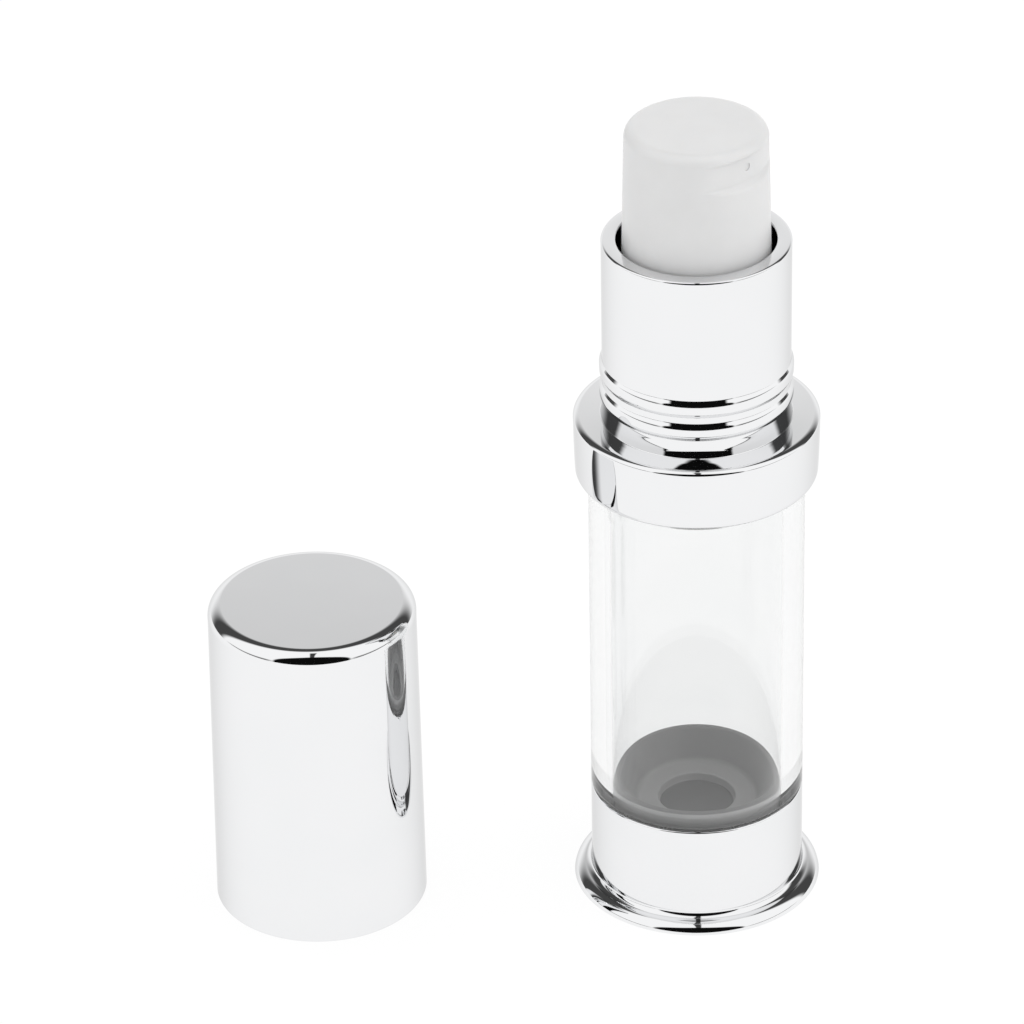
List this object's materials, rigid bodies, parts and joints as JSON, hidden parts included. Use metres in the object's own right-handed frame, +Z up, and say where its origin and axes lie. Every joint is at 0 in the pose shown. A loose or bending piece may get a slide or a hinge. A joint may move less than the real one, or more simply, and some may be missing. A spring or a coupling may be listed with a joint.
{
  "type": "airless pump bottle",
  "caption": "Small airless pump bottle with clear body, follower piston, bright collar and base, push button, and its overcap standing beside it.",
  "frame": {"origin": "centre of the bottle's foot, on the surface it stands on", "axes": "+Z up along the bottle's axis; +Y away from the picture's camera, +X to its right, with the overcap at -X"},
  "size_m": [0.0574, 0.0232, 0.0794],
  "materials": {
    "bright_shell": "vacuum-metallised silver under clear lacquer, mirror bright",
    "clear_body": "clear styrene-acrylonitrile, polished, transparent",
    "grey_piston": "moulded grey polyethylene, satin",
    "white_button": "moulded white polypropylene, soft gloss",
    "white_moulding": "moulded natural white polypropylene",
    "soft_seal": "moulded low-density polyethylene, soft",
    "steel_wire": "stainless steel, bright drawn"
  },
  "bodies": {
    "bottle": {"base_cup": "bright_shell", "bottle_body": "clear_body"},
    "follower": {"follower_piston": "grey_piston"},
    "pump_head": {"neck_gasket": "soft_seal", "snap_ring": "white_moulding", "collar": "bright_shell", "pump_housing": "white_moulding", "pump_cover": "white_moulding", "return_spring": "steel_wire"},
    "ball": {"inlet_ball": "steel_wire"},
    "stem_unit": {"stem": "white_moulding", "valve_plug": "white_moulding"},
    "seal": {"pump_piston": "soft_seal"},
    "push_button": {"button": "white_button"},
    "overcap": {"cap": "bright_shell"}
  },
  "joints": [
    {"name": "follower_slide", "type": "slide", "parent": "bottle", "child": "follower", "axis": [0, 0, 1], "range_m": [0, 0.0305]},
    {"name": "pump_pull", "type": "slide", "parent": "bottle", "child": "pump_head", "axis": [0, 0, 1], "range_m": [0, 0.03]},
    {"name": "ball_lift", "type": "slide", "parent": "pump_head", "child": "ball", "axis": [0, 0, 1], "range_m": [0, 0.0008]},
    {"name": "press", "type": "slide", "parent": "pump_head", "child": "stem_unit", "axis": [0, 0, -1], "range_m": [0, 0.0038], "stiffness_N_per_m": 900, "springref_m": -0.0035, "deforming": ["return_spring"]},
    {"name": "valve_slip", "type": "slide", "parent": "stem_unit", "child": "seal", "axis": [0, 0, 1], "range_m": [0, 0.0008]},
    {"name": "button_turn", "type": "hinge", "parent": "stem_unit", "child": "push_button", "pos_m": [0, 0, 0.07], "axis": [0, 0, 1], "continuous": true},
    {"name": "cap_lift", "type": "slide", "parent": "bottle", "child": "overcap", "axis": [0, 0, 1], "range_m": [0, 0.09]}
  ]
}
